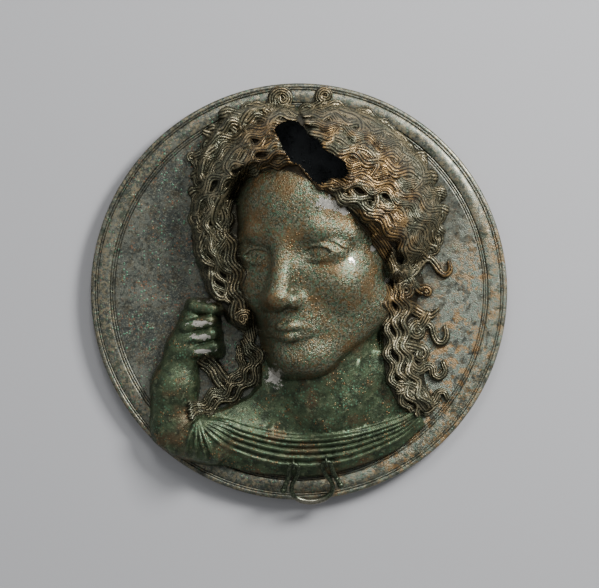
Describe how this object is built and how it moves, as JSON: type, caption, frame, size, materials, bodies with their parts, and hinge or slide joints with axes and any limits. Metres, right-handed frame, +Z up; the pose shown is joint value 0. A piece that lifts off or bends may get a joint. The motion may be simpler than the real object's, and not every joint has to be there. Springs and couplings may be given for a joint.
{
  "type": "box mirror",
  "caption": "Round bronze box mirror, closed, its lid carrying a hollow high-relief bust with a raised hand and a small swinging bail handle.",
  "frame": {"origin": "centre of the mirror disc's flat underside", "axes": "+Z up through the relief, +Y towards the top of the head, +X to the right of the figure as it is looked at"},
  "size_m": [0.175, 0.1769, 0.0479],
  "materials": {
    "mirror_bronze": "polished, tarnished",
    "cover_bronze": "grey-blue patina with green and orange corrosion",
    "relief_bronze": "green and brown patina, granular",
    "bail_bronze": "dark patina, worn bright below"
  },
  "bodies": {
    "closed_mirror": {"mirror_disc": "mirror_bronze", "cover": "cover_bronze", "relief": "relief_bronze", "eyelet_left": "bail_bronze", "eyelet_right": "bail_bronze"},
    "bail": {"bail_handle": "bail_bronze"}
  },
  "joints": [
    {"name": "bail_swing", "type": "hinge", "parent": "closed_mirror", "child": "bail", "pos_m": [0.00453, -0.07167, 0.01715], "axis": [-0.9962, -0.0872, 0], "range_deg": [0, 120]}
  ]
}
